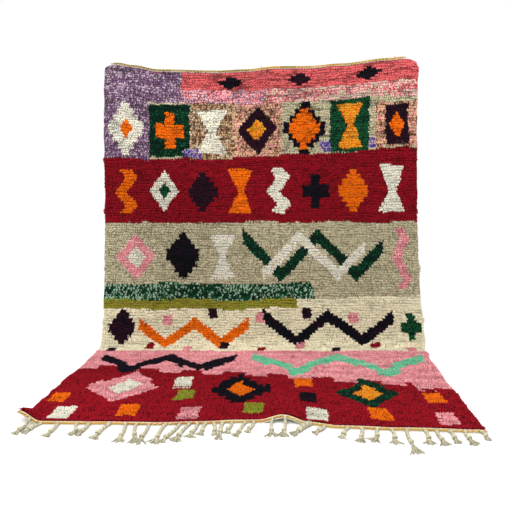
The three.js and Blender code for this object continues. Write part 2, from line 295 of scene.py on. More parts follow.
# Panels and motifs, painted in this order: their middles, half widths and half heights
MOTIFS = [
    # The mauve corner, the dark lozenges of the top band and the panels under them
    ("block", -0.78, 0.095, 0.27, 0.1, "mauve_marl"),
    ("block", 0.52, 0.166, 0.49, 0.046, "blush_marl"),
    ("lozenge", -0.2, 0.062, 0.09, 0.044, "black"),
    ("lozenge", 0.24, 0.062, 0.09, 0.044, "aubergine"),
    ("lozenge", 0.68, 0.062, 0.09, 0.044, "black"),
    ("block", -0.86, 0.39, 0.15, 0.2, "mauve_marl"),
    ("block", -0.58, 0.385, 0.13, 0.175, "dark_green"),
    ("block", -0.31, 0.39, 0.135, 0.195, "brown_marl"),
    ("block", -0.02, 0.385, 0.15, 0.185, "peach_marl"),
    ("block", -0.44, 0.545, 0.055, 0.032, "blue_marl"),
    ("block", 0.42, 0.5, 0.04, 0.034, "blue_marl"),
    ("block", 0.72, 0.5, 0.045, 0.03, "blue_marl"),
    ("block", 0.57, 0.375, 0.125, 0.165, "green"),
    ("block", 0.87, 0.385, 0.13, 0.14, "peach_marl"),
    ("steps", -0.86, 0.39, 0.105, 0.175, "ivory"),
    ("lozenge", -0.86, 0.39, 0.04, 0.065, "orange"),
    ("cross", -0.58, 0.385, 0.09, 0.12, "orange"),
    ("hourglass", -0.31, 0.39, 0.095, 0.155, "ivory"),
    ("lozenge", -0.02, 0.385, 0.125, 0.165, "aubergine"),
    ("lozenge", -0.02, 0.385, 0.06, 0.08, "gold"),
    ("steps", 0.28, 0.385, 0.135, 0.17, "black"),
    ("steps", 0.28, 0.385, 0.1, 0.132, "orange"),
    ("hourglass", 0.57, 0.375, 0.085, 0.14, "gold"),
    ("block", 0.87, 0.385, 0.07, 0.125, "aubergine"),
    ("lozenge", 0.87, 0.385, 0.05, 0.085, "orange"),
    # The crimson band's row of motifs
    ("snake", -0.86, 0.8, 0.08, 0.14, "orange"),
    ("lozenge", -0.62, 0.8, 0.095, 0.14, "ivory"),
    ("lozenge", -0.62, 0.8, 0.04, 0.062, "green"),
    ("steps", -0.37, 0.8, 0.09, 0.13, "aubergine"),
    ("hourglass", -0.13, 0.8, 0.08, 0.14, "orange"),
    ("snake", 0.11, 0.795, 0.085, 0.15, "ivory"),
    ("cross", 0.35, 0.8, 0.085, 0.11, "black"),
    ("steps", 0.59, 0.795, 0.09, 0.14, "orange"),
    ("hourglass", 0.84, 0.79, 0.085, 0.145, "ivory"),
    # The stone band, with its green and olive strips
    ("block", -0.4, 1.44, 0.72, 0.052, "green_marl"),
    ("block", -0.42, 1.52, 0.64, 0.028, "olive"),
    ("lozenge", -0.8, 1.215, 0.125, 0.145, "rose"),
    ("lozenge", -0.8, 1.215, 0.06, 0.07, "ivory"),
    ("steps", -0.5, 1.21, 0.105, 0.145, "black"),
    ("hourglass", -0.25, 1.215, 0.08, 0.14, "ivory"),
    ("snake", 0.89, 1.23, 0.06, 0.19, "rose"),
    # The cream band and the floor
    ("steps", -0.88, 1.665, 0.085, 0.11, "aubergine"),
    ("cross", 0.92, 1.66, 0.06, 0.085, "green"),
    ("lozenge", -0.66, 2.39, 0.19, 0.19, "rose"),
    ("lozenge", -0.66, 2.39, 0.085, 0.09, "ivory"),
    ("steps", -0.06, 2.43, 0.15, 0.17, "black"),
    ("lozenge", -0.06, 2.43, 0.07, 0.085, "orange"),
    ("lozenge", 0.56, 2.44, 0.16, 0.16, "dark_green"),
    ("lozenge", 0.56, 2.44, 0.07, 0.075, "gold"),
]

# Zigzag ribbons, each swinging about its middle line from left to right
RIBBONS = table(
    "ground left right middle swing pitch thick",
    ("dark_green", -0.12, 0.78, 1.21, 0.125, 0.48, 0.066),
    ("ivory", 0.0, 0.66, 1.21, -0.125, 0.48, 0.054),
    ("orange", -0.77, -0.09, 1.7, 0.065, 0.34, 0.058),
    ("black", 0.0, 0.82, 1.665, 0.08, 0.41, 0.062),
    ("mint", -0.04, 0.96, 2.06, 0.11, 0.5, 0.085),
    ("black", -0.92, -0.14, 2.05, 0.09, 0.39, 0.08),
)

# Rows of small blocks, by half their width and height, with the grounds that take turns in each row
BLOCK_ROWS = table(
    "down first step count wide high grounds",
    (1.59, -0.6, 0.29, 5, 0.028, 0.03, ("rose", "aubergine")),
    (1.805, -0.92, 0.23, 9, 0.026, 0.026, ("aubergine", "crimson", "rose")),
    (2.33, -0.36, 0.61, 3, 0.046, 0.058, ("ivory", "orange", "rose")),
    (2.5, -0.93, 0.6, 4, 0.042, 0.056, ("orange", "lime", "black")),
    (2.665, -0.84, 0.285, 7, 0.046, 0.056, ("ivory", "orange", "rose", "lime")),
)
BLOCK_STAGGER = 0.018

# The square teeth between the rose and the crimson, and how far every outline wanders
TEETH = dict(down=2.235, reach=0.16, height=0.045, pitch=0.240)
OUTLINE_WANDER = 0.006


def ease(value, low, high):
    """0 below low, 1 above high, and smooth between"""
    share = np.clip((value - low) / (high - low), 0, 1)
    return share * share * (3 - 2 * share)


def read_table(table, key, place, column):
    """A column of a table at places between its rows, easing from row to row"""
    keys = np.array([row[key] for row in table], float)
    values = np.array([row[column] for row in table], float)
    after = np.clip(np.searchsorted(keys, place, side="right"), 1, len(keys) - 1)
    before = after - 1
    return values[before] + (values[after] - values[before]) * ease(place, keys[before], keys[after])


def walk_up_cloth():
    """How far back and how high the cloth has come, at each short step up it from the floor"""
    backs, heights = [0.0], [0.0]
    up = WALK_STEP / 2
    while heights[-1] < HANG_HEIGHT:
        turn = math.radians(float(read_table(BEND, "up", up, "turn")))
        backs.append(backs[-1] + WALK_STEP * math.sin(turn))
        heights.append(heights[-1] + WALK_STEP * math.cos(turn))
        up += WALK_STEP
    return np.array(backs), np.array(heights)


PATH_BACK, PATH_HEIGHT = walk_up_cloth()
PATH_UP = np.arange(len(PATH_BACK)) * WALK_STEP
FLOOR_START = PATH_BACK[-1]
HANG_LENGTH = PATH_UP[-1]
CLOTH_LENGTH = HANG_LENGTH + FLOOR_RUN


def lift_off_floor(x, down):
    """How high the cloth stands off the floor near the hem"""
    from_hem = CLOTH_LENGTH - down
    across = np.clip(np.abs(x - RIPPLE["across"]) / (RIPPLE["width"] / 2), 0, 1)
    crest = (1 + np.cos(np.pi * across)) / 2
    ripple = RIPPLE["height"] * crest * (1 - ease(from_hem, 0, RIPPLE["length"]))
    at_corner = 1 - ease(x - EDGES[-1]["left"], 0, CURL["width"])
    curl = CURL["height"] * at_corner * (1 - ease(from_hem, 0, CURL["length"]))
    return ripple + curl


def unplaced_back(side, down):
    """Points of the cloth's back, before the rug is set in the shared frame"""
    side, down = np.broadcast_arrays(np.asarray(side, float), np.asarray(down, float))
    wave = RIM_WAVE * np.sin(down / RIM_WAVE_LENGTHS[0]) * np.sin(down / RIM_WAVE_LENGTHS[1])
    left = read_table(EDGES, "down", down, "left") + wave
    right = read_table(EDGES, "down", down, "right") + wave
    x = left + (right - left) * (side + 1) / 2
    up = HANG_LENGTH - down
    hem = read_table(HEM, "across", x, "forward")
    lying = FLOOR_START + (hem - FLOOR_START) * -up / FLOOR_RUN
    hanging = FLOOR_START - np.interp(up, PATH_UP, PATH_BACK)
    forward = np.where(up <= 0, lying, hanging)
    height = np.interp(up, PATH_UP, PATH_HEIGHT)
    height = height + np.maximum(up - HANG_LENGTH, 0)
    sag = read_table(TOP_EDGE, "across", x, "rise") * (1 - ease(down, 0, SAG_DEPTH))
    sway = read_table(TOP_EDGE, "across", x, "forward") * (1 - ease(down, 0, WAVE_DEPTH))
    return np.stack([x, -forward - sway, height + sag + lift_off_floor(x, down)], -1)


TOP_MIDDLE = next(m for m in frame["record"]["mounts"] if m["name"] == "top_edge")["pos_m"]
PLACE = np.array(TOP_MIDDLE) - unplaced_back(0, 0)


def back_point(side, down):
    return unplaced_back(side, down) + PLACE


def unit(vectors):
    return vectors / np.linalg.norm(vectors, axis=-1, keepdims=True)


def cloth_axes(side, down):
    """Directions across the cloth, down it and out of its pile side"""
    reach = 0.004
    along = unit(back_point(side, down + reach) - back_point(side, down - reach))
    across = unit(back_point(side + reach, down) - back_point(side - reach, down))
    out = unit(np.cross(along, across))
    return np.cross(out, along), along, out


def corner_cut(from_left, from_right):
    """How much of the top the rounded corners cut away, at distances from the side edges"""
    nearer_left = from_left < from_right
    radius = np.where(nearer_left, LEFT_CORNER_RADIUS, RIGHT_CORNER_RADIUS)
    inside = np.maximum(radius - np.where(nearer_left, from_left, from_right), 0)
    return radius - np.sqrt(radius**2 - inside**2)


def soft_noise(x, y, size, seed):
    """Smooth noise from about -1 to 1, with lumps about size across"""
    draws = np.random.default_rng(seed)
    total = 0
    waves = 6
    for _ in range(waves):
        angle, phase = draws.uniform(0, 2 * math.pi, 2)
        pitch = size * draws.uniform(1.4, 3.2)
        total = total + np.sin((x * math.cos(angle) + y * math.sin(angle)) * 2 * math.pi / pitch + phase)
    return total / math.sqrt(waves / 2) / 1.6


def linear(colour):
    """A colour from 0 to 255 as linear light"""
    share = np.asarray(colour, float) / 255
    return np.where(share <= 0.04045, share / 12.92, ((share + 0.055) / 1.055) ** 2.4)


# Motif shapes, each told where a tuft is from the motif's middle, in half widths and half heights
def in_block(u, v):
    return np.maximum(np.abs(u), np.abs(v)) < 1


def in_lozenge(u, v):
    return np.abs(u) + np.abs(v) < 1


def in_steps(u, v):
    levels = 4
    return (np.abs(u) < 1 - np.floor(np.abs(v) * levels) / levels) & (np.abs(v) < 1)


def in_hourglass(u, v):
    return (np.abs(u) < 0.25 + 0.75 * np.abs(v)) & (np.abs(v) < 1)


def in_cross(u, v):
    arm = 0.36
    return in_block(u, v) & ((np.abs(u) < arm) | (np.abs(v) < arm))


def triangle_wave(t):
    return 4 * np.abs(t - np.floor(t + 0.5)) - 1


def in_snake(u, v):
    return (np.abs(u - 0.45 * triangle_wave(v * 0.8)) < 0.5) & (np.abs(v) < 1)


SHAPES = dict(
    block=in_block,
    lozenge=in_lozenge,
    steps=in_steps,
    hourglass=in_hourglass,
    cross=in_cross,
    snake=in_snake,
)


def paint(x, down):
    """The number of the ground in GROUNDS that each tuft belongs to"""
    names = list(GROUNDS)
    x = x + OUTLINE_WANDER * soft_noise(x, down, 0.12, SEED)
    down = down + OUTLINE_WANDER * soft_noise(x, down, 0.16, SEED + 1)
    near = np.abs(down - TEETH["down"]) < TEETH["reach"]
    down = down + near * TEETH["height"] * np.sign(triangle_wave(x / TEETH["pitch"])) / 2
    ground = np.full(x.shape, names.index(BANDS[0]["ground"]))
    for band in BANDS[1:]:
        start = band["left"] + (band["right"] - band["left"]) * (x + 1) / 2
        ground[down >= start] = names.index(band["ground"])
    for shape, across, middle, half_width, half_height, name in MOTIFS:
        inside = SHAPES[shape]((x - across) / half_width, (down - middle) / half_height)
        ground[inside] = names.index(name)
    for ribbon in RIBBONS:
        wave = triangle_wave((x - ribbon["left"]) / ribbon["pitch"])
        steepness = math.hypot(1, 4 * ribbon["swing"] / ribbon["pitch"])
        off = np.abs(down - ribbon["middle"] - ribbon["swing"] * wave)
        inside = (off < ribbon["thick"] / 2 * steepness) & (x > ribbon["left"]) & (x < ribbon["right"])
        ground[inside] = names.index(ribbon["ground"])
    for row in BLOCK_ROWS:
        for i in range(row["count"]):
            across = row["first"] + i * row["step"]
            middle = row["down"] + BLOCK_STAGGER * (-1) ** i
            inside = in_block((x - across) / row["wide"], (down - middle) / row["high"])
            ground[inside] = names.index(row["grounds"][i % len(row["grounds"])])
    return ground


def pick_yarns(ground, pick):
    """The linear colour of each tuft's yarn, by where pick, from 0 to 1, falls in its ground's shares"""
    colours = np.zeros((len(ground), 3))
    for number, shares in enumerate(GROUNDS.values()):
        here = ground == number
        edges = np.cumsum(list(shares.values()))
        which = np.searchsorted(edges / edges[-1], pick[here], side="right").clip(0, len(shares) - 1)
        colours[here] = linear([YARNS[name] for name in shares])[which]
    return colours


def pile_ridges(side, down):
    """Below 0 where the pile parts into wavy lines across the cloth, and over 0 where it stands up"""
    pitch, stretch, width, swell = 0.026, 0.22, 0.26, 0.25
    wander = 0.012 * soft_noise(side, down, 0.09, SEED + 10)
    waves = soft_noise(side * stretch, down + wander, pitch, SEED + 7)
    broken = ease(soft_noise(side, down, 0.10, SEED + 12), -0.7, 0.3)
    parting = np.exp(-((waves / width) ** 2)) * broken
    strength = 1.35 - ease(down, 0.15, 0.9)
    return (swell * np.abs(waves) - parting) * strength


def yarn_colours(ground, row, column, ridges, rng):
    """Two linear colours for each tuft, one for each of its locks, with random tone and painted shade and
    light from the pile's partings
    """
    across, down = column * TUFT_PITCH, row * ROW_PITCH
    streak = soft_noise(across * 0.25, down * 2.5, 0.08, SEED + 3)
    cloud = soft_noise(across, down, 0.45, SEED + 6)
    crimson = ground == list(GROUNDS).index("crimson")
    floor_tone = np.where(crimson, 0.12, -0.09) * ease(down, 2.1, 2.5)
    both = []
    for _ in range(2):
        pick = np.clip(rng.random(len(row)) + 0.16 * streak, 0, 0.999)
        shade = 1 + 0.06 * rng.standard_normal(len(row)) + 0.05 * streak + 0.08 * cloud
        # Painted shade and light: tufts in the pile's partings are darkened, and tufts where the pile stands
        # up are lightened
        shade = shade + 0.50 * ridges + floor_tone
        colours = pick_yarns(ground, pick) * np.clip(shade, 0.45, 1.45)[:, None]
        both.append(np.clip(colours, 0.002, 0.95))
    return both


def tuft_places(rng):
    """Rows and columns of tufts, with each tuft's place on the cloth"""
    stagger, jitter, row_wander, row_jitter = 0.25, 0.3, 0.0032, 0.0024
    rows = int((CLOTH_LENGTH - TOP_MARGIN - HEM_MARGIN) / ROW_PITCH) + 1
    columns = int(CLOTH_WIDTH / TUFT_PITCH)
    row, column = (grid.ravel() for grid in np.mgrid[0:rows, 0:columns])
    at_edge = (column == 0) | (column == columns - 1)
    shift = np.where(row % 2, stagger, -stagger) + rng.uniform(-jitter, jitter, row.size)
    shift = np.where(at_edge, 0, shift)
    side = (2 * (column + 0.5 + shift) / columns - 1) * (1 - 0.5 / columns)
    down = TOP_MARGIN + row * ROW_PITCH
    down = down + row_wander * soft_noise(side, down * 2.5, 0.07, SEED + 4)
    down = down + rng.uniform(-row_jitter, row_jitter, row.size)
    from_left, from_right = (side + 1) * CLOTH_WIDTH / 2, (1 - side) * CLOTH_WIDTH / 2
    kept = down > corner_cut(from_left, from_right) + TOP_MARGIN / 2
    return tuple(values[kept] for values in (row, column, side, np.clip(down, 0.002, None)))


# A lock of yarn, in metres: its root and belly rings, each by its half width and by how far down the cloth
# and how high over its back its low corners and its ridge lie, then its tip. Each knot has two locks, of
# sizes between the shares given for across, down and out. Towards the floor their tips lie lower.
LOCK_RINGS = [
    dict(half=0.0044, low=(-0.0010, 0.0034), ridge=(-0.0026, 0.0084)),
    dict(half=0.0064, low=(0.0118, 0.0082), ridge=(0.0108, 0.0138)),
]
LOCK_TIP = (0.0208, 0.0112)
# How near the pile's face the root ring, belly ring and tip are, given as the points' height: painted shade,
# darkest at the root
LOCK_DEPTHS = (0.0, 0.8, 1.0)
LOCK_SIZES = ((0.92, 1.24), (0.84, 1.12), (0.86, 1.05))
LOCK_OFFSET = 0.0028
TIP_DROP = 0.0046
MATE_SHARE = 0.25

# How far the locks turn aside, in degrees: each apart from its mate, with its neighbours, and at the edges
LOCK_LEANS = (-28, 28)
LEAN_SPREAD = 12
SWEEP = 12
BUNCH_TURN = 26
EDGE_TURN = -14
EDGE_CALM = 0.030
BORDER_CALM = 0.15


def lock_template():
    """A lock's points as across, down and out, its triangles, and how near the pile's face each point is,
    which sets its painted shade
    """
    points, painted_shade_heights = [], []
    for ring, near in zip(LOCK_RINGS, LOCK_DEPTHS):
        (low_down, low_out), (ridge_down, ridge_out) = ring["low"], ring["ridge"]
        half = ring["half"]
        points += [(-half, low_down, low_out), (0, ridge_down, ridge_out), (half, low_down, low_out)]
        painted_shade_heights += [near] * 3
    points.append((0, *LOCK_TIP))
    painted_shade_heights.append(LOCK_DEPTHS[-1])
    triangles = [(0, 1, 2)]
    for i in range(3):
        j = (i + 1) % 3
        triangles += [(i, i + 3, j), (j, i + 3, j + 3), (i + 3, 6, j + 3)]
    return np.array(points), np.array(triangles), np.array(painted_shade_heights)


def make_piece(name, points, faces, material, node, height, colours=None):
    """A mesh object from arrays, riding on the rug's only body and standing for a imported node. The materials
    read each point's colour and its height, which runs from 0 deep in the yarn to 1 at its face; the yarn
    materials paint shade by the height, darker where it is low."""
    points = points.reshape(-1, 3)
    mesh = bpy.data.meshes.new(name)
    mesh.from_pydata(points.tolist(), [], faces.tolist())
    mesh.validate()
    mesh.shade_smooth()
    mesh.materials.append(material)
    if colours is not None:
        layer = mesh.color_attributes.new("yarn", "FLOAT_COLOR", "POINT")
        full = np.concatenate([colours.reshape(-1, 3), np.ones((len(points), 1))], -1)
        layer.data.foreach_set("color", full.astype(np.float32).ravel())
    layer = mesh.attributes.new("height", "FLOAT", "POINT")
    layer.data.foreach_set("value", np.resize(height, len(points)).astype(np.float32))
    piece = bpy.data.objects.new(name, mesh)
    bpy.context.collection.objects.link(piece)
    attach(piece, "root")
    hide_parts(node)
    return piece


def add_cells(piece, copies, corners):
    """A UV map in which each of many like bits has a square cell of its own"""
    margin = 0.06
    across = math.ceil(math.sqrt(copies))
    cell = np.stack(np.divmod(np.arange(copies), across)[::-1], -1) / across
    uv = cell[:, None, :] + (margin + (1 - 2 * margin) * corners)[None, :, :] / across
    layer = piece.data.uv_layers.new(name="OFBake")
    layer.data.foreach_set("uv", uv.astype(np.float32).ravel())


def strip_corners(triangles, rings, sides):
    """UV places of the corners of a template's triangles, each side of the bit in a strip of its own"""
    corners = []
    for triangle in triangles:
        numbers = np.asarray(triangle)
        ring = numbers // sides
        turn = numbers % sides
        wraps = turn.max() == sides - 1 and turn.min() == 0
        turn = np.where(wraps & (turn == 0) & (ring < rings), sides, turn)
        tip = numbers == rings * sides
        turn = np.where(tip, turn[~tip].mean(), turn)
        corners += list(zip(turn / sides, ring / rings))
    return np.array(corners)


def stand_on_cloth(template, side, down, sizes, yaw):
    """Copies of a template's points at places on the cloth, scaled and turned about the pile's direction"""
    a, d, n = (template[:, i] * sizes[i][:, None] for i in range(3))
    cos, sin = np.cos(yaw)[:, None], np.sin(yaw)[:, None]
    a, d = a * cos + d * sin, d * cos - a * sin
    points = back_point(side, down)[:, None]
    for amount, way in zip((a, d, n), cloth_axes(side, down)):
        points = points + amount[..., None] * way[:, None]
    return points


def copy_faces(triangles, copies):
    """A template's triangles for each of its copies"""
    count, size = copies.shape[:2]
    return (triangles[None] + (np.arange(count) * size)[:, None, None]).reshape(-1, 3)


def place_locks(template, side, down, ground, ridges, lean, rng):
    """One lock of each tuft, turned aside less at the side edges and where its tip would change colour"""
    near_edge = 1 - ease((1 - np.abs(side)) * CLOTH_WIDTH / 2, 0, EDGE_CALM)
    bunch = soft_noise(down, 0, 0.035, SEED + 9) > 0.9
    outward = np.sign(side) * near_edge * np.where(bunch, BUNCH_TURN, EDGE_TURN)
    calm = (1 - 0.8 * near_edge) * (1 - 0.4 * ease(down, 1.5, 2.0))
    sweep = SWEEP * soft_noise(side, down * 1.6, 0.06, SEED + 8)
    wander = lean + sweep + rng.normal(0, LEAN_SPREAD, len(side))
    yaw = np.radians(wander * calm + outward)
    offset = np.sign(lean) * LOCK_OFFSET / (CLOTH_WIDTH / 2)
    tip_side = side + offset + 2 * LOCK_TIP[0] * np.sin(yaw) / CLOTH_WIDTH
    tip_ground = paint(tip_side * CLOTH_WIDTH / 2, down)
    yaw = np.where(tip_ground == ground, yaw, yaw * BORDER_CALM)
    sizes = [rng.uniform(least, most, len(side)) for least, most in LOCK_SIZES]
    lumps = 1 + 0.06 * soft_noise(side, down, 0.05, SEED + 5) + 0.20 * ridges
    sizes[2] = sizes[2] * lumps
    place = np.clip(side + offset, -0.999, 0.999)
    locks = stand_on_cloth(template, place, down, sizes, yaw)
    out = cloth_axes(place, down)[2]
    locks[:, -1] -= out * (TIP_DROP * ease(down, 1.2, 1.75))[:, None]
    return locks


def make_pile(row, side, down, ground, ridges, colours, material, rng):
    """The pile: two locks for each knot, all joined in a few parts from the top down"""
    template, triangles, painted_shade_heights = lock_template()
    corners = strip_corners(triangles, len(LOCK_RINGS), 3)
    pieces = []
    edges = np.linspace(0, row.max() + 1, len(PILE_PARTS) + 1).astype(int)
    for name, first, last in zip(PILE_PARTS, edges, edges[1:]):
        here = (row >= first) & (row < last)
        tufts = [values[here] for values in (side, down, ground, ridges)]
        locks = np.concatenate([place_locks(template, *tufts, lean, rng) for lean in LOCK_LEANS])
        dyes = []
        for lock, mate in (colours, colours[::-1]):
            dye = np.repeat(lock[here][:, None], len(template), 1)
            dye[:, -1] = (1 - MATE_SHARE) * lock[here] + MATE_SHARE * mate[here]
            dyes.append(dye)
        dyes, faces = np.concatenate(dyes), copy_faces(triangles, locks)
        piece = make_piece(name, locks, faces, material, "field", painted_shade_heights, dyes)
        add_cells(piece, len(locks), corners)
        pieces.append(piece)
    return pieces


def make_back_knots(side, down, colours, material, rng):
    """The knots' backs, as low bumps in rows between the wefts, where the cloth's back can be seen"""
    half_across, half_along, rim = 0.0064, 0.0056, KNOT_RISE * 1.3
    square = np.array([(-1, -1), (1, -1), (1, 1), (-1, 1), (0, 0)])
    template = np.column_stack([square * (half_across, half_along), (rim, rim, rim, rim, 0)])
    triangles = np.array([(0, 1, 2), (0, 2, 3), (1, 0, 4), (2, 1, 4), (3, 2, 4), (0, 3, 4)])
    # Painted shade: the knots' rims get height 0.55, so the yarn material darkens them, and their middles full
    # colour
    heights = (0.55, 0.55, 0.55, 0.55, 1.0)
    seen = down < HANG_LENGTH - 0.02
    side, down = side[seen], down[seen]
    count = len(side)
    sizes = (rng.uniform(0.8, 1.1, count), rng.uniform(0.8, 1.15, count), np.ones(count))
    knots = stand_on_cloth(template, side, down, sizes, np.radians(rng.normal(0, 9, count)))
    dyes, faces = np.repeat(colours[seen] * 0.9, len(template), 0), copy_faces(triangles, knots)
    piece = make_piece("back_knots", knots, faces, material, "field", heights, dyes)
    add_cells(piece, count, ((square + 1) / 2)[triangles.ravel()])
    return piece


def ground_grid():
    """Places across and rows down the ground weave, closer together at the edges and in the bend"""
    edge = np.array([0, 0.006, 0.014, 0.024, 0.036, 0.052, 0.070])
    inner = np.linspace(edge[-1], CLOTH_WIDTH - edge[-1], 84)[1:-1]
    hanging = np.linspace(0.03, HANG_LENGTH - 0.2, 78)
    bend = np.linspace(HANG_LENGTH - 0.19, HANG_LENGTH + 0.02, 22)
    lying = np.linspace(HANG_LENGTH + 0.04, CLOTH_LENGTH, 42)
    places = np.concatenate([edge, inner, CLOTH_WIDTH - edge[::-1]])
    return places, np.concatenate([[0, 0.01], hanging, bend, lying])


def sheet_faces(wide, long):
    """The faces of a closed sheet of two grids of points, back and front, and of the rim between them"""
    corner = (np.arange(long - 1)[:, None] * wide + np.arange(wide - 1)).ravel()
    back = np.stack([corner, corner + 1, corner + wide + 1, corner + wide], -1)
    front = back[:, ::-1] + wide * long
    first, last = np.arange(wide), (long - 1) * wide + np.arange(wide - 2, -1, -1)
    right, left = np.arange(1, long) * wide + wide - 1, np.arange(long - 2, 0, -1) * wide
    rim = np.concatenate([first, right, last, left])
    ahead = np.roll(rim, -1)
    between = np.stack([ahead, rim, rim + wide * long, ahead + wide * long], -1)
    return np.concatenate([back, front, between])


def make_ground(material, rng):
    """The ground weave: one thin closed sheet on the solid's back"""
    places, rows = ground_grid()
    down, across = np.meshgrid(rows, places, indexing="ij")
    cut = corner_cut(across, CLOTH_WIDTH - across) * (1 - ease(down, 0, 0.4))
    side, down = 2 * across / CLOTH_WIDTH - 1, down + cut
    out = cloth_axes(side, down)[2]
    back = back_point(side, down) + out * (KNOT_RISE * ease(HANG_LENGTH - down, 0, 0.1))[..., None]
    points = np.stack([back, back + out * GROUND_THICK])
    ground = paint(side.ravel() * CLOTH_WIDTH / 2, down.ravel())
    pile_side = pick_yarns(ground, rng.random(down.size))
    weft_side = np.tile(linear(YARNS["warp"]), (down.size, 1)) * 0.8
    # Painted shade: the pile side gets height 0.55, darkened as deep in the pile, and the back full colour
    dyes, heights = np.concatenate([weft_side, pile_side]), np.repeat([1.0, 0.55], down.size)
    faces = sheet_faces(len(places), len(rows))
    return make_piece("ground_weave", points, faces, material, "field", heights, dyes)


def path_lengths(path):
    """How far along a path each of its points is"""
    return np.concatenate([[0], np.cumsum(np.linalg.norm(np.diff(path, axis=0), axis=1))])


def path_axes(path, up=(0, 0, 1)):
    """Directions sideways from a path and upward, at each of its points"""
    tangent = unit(np.gradient(path, axis=0))
    sideways = unit(np.cross(tangent, np.broadcast_to(up, tangent.shape)))
    return sideways, np.cross(sideways, tangent)


def ring_corners(rings, sides):
    """The first corners of the facets between rings of points: each point, and the next one round"""
    start, around = np.arange(rings - 1)[:, None] * sides, np.arange(sides)
    return (start + around).ravel(), (start + (around + 1) % sides).ravel()


def tube(path, radii, sides, up=(0, 0, 1)):
    """Points and triangles of a closed tube along a path"""
    sideways, upward = path_axes(path, up)
    angle = np.arange(sides) / sides * 2 * math.pi
    radii = np.broadcast_to(radii, len(path))[:, None, None]
    ring = np.cos(angle)[None, :, None] * sideways[:, None] + np.sin(angle)[None, :, None] * upward[:, None]
    points = (path[:, None] + radii * ring).reshape(-1, 3)
    points = np.concatenate([points, path[:1], path[-1:]])
    a, b = ring_corners(len(path), sides)
    start, end = len(points) - 2, len(points) - 1
    last = (len(path) - 1) * sides
    i = np.arange(sides)
    j = (i + 1) % sides
    faces = np.concatenate(
        [
            np.stack([a, a + sides, b], -1),
            np.stack([b, a + sides, b + sides], -1),
            np.stack([np.full(sides, start), i, j], -1),
            np.stack([np.full(sides, end), last + j, last + i], -1),
        ]
    )
    return points, faces


def join_tubes(tubes):
    """Many tubes as one set of points and triangles, with a number for each point's tube"""
    counts = [len(points) for points, _ in tubes]
    starts = np.cumsum([0, *counts[:-1]])
    points = np.concatenate([points for points, _ in tubes])
    faces = np.concatenate([faces + start for (_, faces), start in zip(tubes, starts)])
    return points, faces, np.repeat(np.arange(len(tubes)), counts)


def twined(path, radius, pitch, phase, sides, taper_length=0):
    """One ply of a two-ply cord that winds round a path, and touches its mate along the middle"""
    length = path_lengths(path)
    sideways, upward = path_axes(path)
    angle = (length / pitch * 2 * math.pi + phase)[:, None]
    from_end = np.minimum(length, length[-1] - length)
    taper = 0.35 + 0.65 * ease(from_end, 0, taper_length) if taper_length else np.ones(len(path))
    orbit, thick = radius * PLY_ORBIT * taper[:, None], radius * PLY_THICK * taper
    return tube(path + orbit * (np.cos(angle) * sideways + np.sin(angle) * upward), thick, sides)


def make_cord(name, centres, plies, node, material, rng, left_dim):
    """A two-ply twined cord, each ply in its own yarns, dimmer to the left by left_dim"""
    length = path_lengths(centres)
    steps = np.linspace(0, length[-1], int(length[-1] / CORD_PITCH * CORD_STEPS))
    path = np.stack([np.interp(steps, length, centres[:, i]) for i in range(3)], -1)
    phases = (0, math.pi)
    tubes = [twined(path, CORD_RADIUS, CORD_PITCH, phase, CORD_SIDES, CORD_TAPER) for phase in phases]
    points, faces, numbers = join_tubes(tubes)
    along = np.minimum((np.arange(len(points)) % (len(points) // 2)) // CORD_SIDES, len(steps) - 1)
    colours = np.zeros((len(points), 3))
    for ply, yarns in enumerate(plies):
        dyes = linear([YARNS[yarn] for yarn in yarns.split()])
        run = rng.integers(0, len(dyes), len(steps) // YARN_RUN + 1)
        colours[numbers == ply] = dyes[run[along // YARN_RUN][numbers == ply]]
    dim = 1 - left_dim * (1 - ease(points[:, 0], -0.35, 0.15))
    colours = colours * dim[:, None]
    return make_piece(name, points, faces, material, node, CORD_PAINTED_SHADE_HEIGHT, colours)


def make_cords(cords, down, span, node, material, rng, left_dim=0):
    """Cords along an end of the cloth, as far as they lie in a span across"""
    step = 0.01
    sides = np.arange(-1, 1 + step / 2, step)
    made = []
    for name, setback, rise, *plies in cords:
        centres = back_point(sides, down) + (0, -setback, rise)
        unplaced_x = centres[:, 0] - PLACE[0]
        centres = centres[(unplaced_x >= span[0]) & (unplaced_x <= span[1])]
        made.append(make_cord(name, centres, plies, node, material, rng, left_dim))
    return made


def make_loose_ends(material, rng):
    """Short ends of yarn that stick up from the top cord"""
    _, setback, rise, *_ = TOP_CORDS[-1]
    share = np.linspace(0, 1, 8)[:, None]
    radii = np.linspace(0.0018, 0.0009, len(share))
    tubes = []
    for end in LOOSE_ENDS:
        foot = back_point(end["side"], 0) + (0, -setback, rise)
        for _ in range(2):
            lean = math.radians(end["lean"] + rng.normal(0, 7))
            way = np.array([math.sin(lean), rng.normal(-0.1, 0.1), math.cos(lean)])
            droop = np.array([0.15 * math.sin(lean), 0, -0.35])
            line = foot + end["length"] * (share * way + share**2 * droop)
            tubes.append(tube(line, radii, 5, up=(0, 1, 0)))
    points, faces, numbers = join_tubes(tubes)
    dyes = linear([YARNS["tan"], YARNS["dark_coral"], YARNS["old_gold"]])
    dyes = dyes[numbers % len(dyes)]
    return make_piece("loose_ends", points, faces, material, "top_cord", CORD_PAINTED_SHADE_HEIGHT, dyes)


def band_front(across):
    """The end band's front edge at a place across, in the shared frame"""
    left, right = EDGES[-1]["left"], EDGES[-1]["right"]
    side = 2 * (across - left) / (right - left) - 1
    return back_point(side, CLOTH_LENGTH) - (0, SEAM_GAP + BAND_DEEP, 0)


